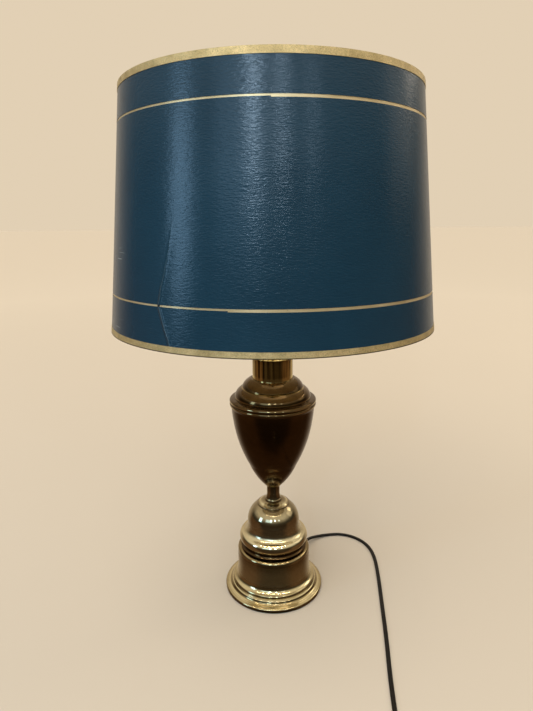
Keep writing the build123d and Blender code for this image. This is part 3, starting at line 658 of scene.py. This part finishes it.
# Each step in the room is an axis, where its colour starts and is full along it, and the colour.
BACKDROP = (0.76, 0.63, 0.46, 1)
ROOM_FLOOR = (0.120, 0.066, 0.034, 1)
ROOM_STEPS = [
    ("Y", -0.38, -0.66, (0.042, 0.028, 0.016, 1)),
    ("Z", -0.08, 0.10, (0.060, 0.050, 0.034, 1)),
    ("Z", 0.14, 0.66, (0.84, 0.765, 0.635, 1)),
    ("Y", 0.30, 0.95, (0.60, 0.50, 0.38, 1)),
]
WARM, NEUTRAL, COOL = (1.0, 0.88, 0.72), (0.60, 0.80, 1.0), (0.42, 0.70, 1.0)
# Name, turn, height, distance, size, power and colour. The small ones high up only show in what shines.
LIGHTS = [
    ("front_left", -11.5, 1.65, 2.6, (0.17, 0.36), 9.0, NEUTRAL),
    ("front_right", 7.0, 1.68, 2.6, (0.12, 0.32), 5.0, NEUTRAL),
    ("right", 27.0, 1.62, 2.7, (0.12, 0.32), 1.7, NEUTRAL),
    ("wide_left", -22.0, 1.50, 2.8, (1.5, 0.8), 7.0, COOL),
    ("far_left", -62.0, 1.05, 2.6, (0.58, 1.0), 9.5, COOL),
    ("far_right", 100.0, 1.5, 2.4, (1.2, 1.2), 2.0, WARM),
    ("top", 150.0, 3.0, 0.9, (1.8, 1.8), 6.0, WARM),
    ("back_right", 120.0, 1.9, 2.6, (0.8, 0.8), 5.0, WARM),
] + [(f"can_{i}", -58.0 + 19.0 * i, 3.2, 2.0, (0.2, 0.2), 5.0, WARM, False) for i in range(7)]


SUN_POWER, SUN_SPREAD, SUN_COLOR = 1.56, 55, (1.0, 0.93, 0.82)
SUN_TURNS = (24, -14, 0)


def add_sun():
    """Broad even light, so that the floor is as pale far away as it is close by."""
    data = bpy.data.lights.new("sun", "SUN")
    data.energy = SUN_POWER
    data.angle = math.radians(SUN_SPREAD)
    data.color = SUN_COLOR
    sun = bpy.data.objects.new("sun", data)
    sun.visible_glossy = False
    scene.collection.objects.link(sun)
    sun.rotation_euler = [math.radians(turn) for turn in SUN_TURNS]


def add_world():
    """Pale backdrop for the eye. Reflections see a brown floor, dark in front, and a pale ceiling."""
    world = bpy.data.worlds.new("room")
    scene.world = world
    world.use_nodes = True
    tree = world.node_tree
    tree.nodes.clear()
    out = tree.nodes.new("ShaderNodeOutputWorld")
    place = tree.nodes.new("ShaderNodeTexCoord")
    split = tree.nodes.new("ShaderNodeSeparateXYZ")
    tree.links.new(place.outputs["Generated"], split.inputs[0])
    color = None
    for axis, start, end, second in ROOM_STEPS:
        span = tree.nodes.new("ShaderNodeMapRange")
        span.interpolation_type = "SMOOTHSTEP"
        span.inputs["From Min"].default_value = start
        span.inputs["From Max"].default_value = end
        tree.links.new(split.outputs[axis], span.inputs["Value"])
        mix = tree.nodes.new("ShaderNodeMix")
        mix.data_type = "RGBA"
        mix.inputs[MIX_FIRST].default_value = ROOM_FLOOR
        mix.inputs[MIX_SECOND].default_value = second
        tree.links.new(span.outputs[0], mix.inputs[MIX_SHARE])
        if color is not None:
            tree.links.new(color, mix.inputs[MIX_FIRST])
        color = mix.outputs[MIX_OUT]
    rays = tree.nodes.new("ShaderNodeLightPath")
    blend = tree.nodes.new("ShaderNodeMixShader")
    tree.links.new(rays.outputs["Is Camera Ray"], blend.inputs[0])
    for i, paint in enumerate((color, BACKDROP)):
        light = tree.nodes.new("ShaderNodeBackground")
        if isinstance(paint, bpy.types.NodeSocket):
            tree.links.new(paint, light.inputs["Color"])
        else:
            light.inputs["Color"].default_value = paint
        tree.links.new(light.outputs[0], blend.inputs[i + 1])
    tree.links.new(blend.outputs[0], out.inputs[0])


add_camera()
add_cord()
add_seam()
finish_nodes()
add_floor()
for light in LIGHTS:
    add_light(*light)
add_sun()
add_world()
scene.view_settings.view_transform = "Standard"
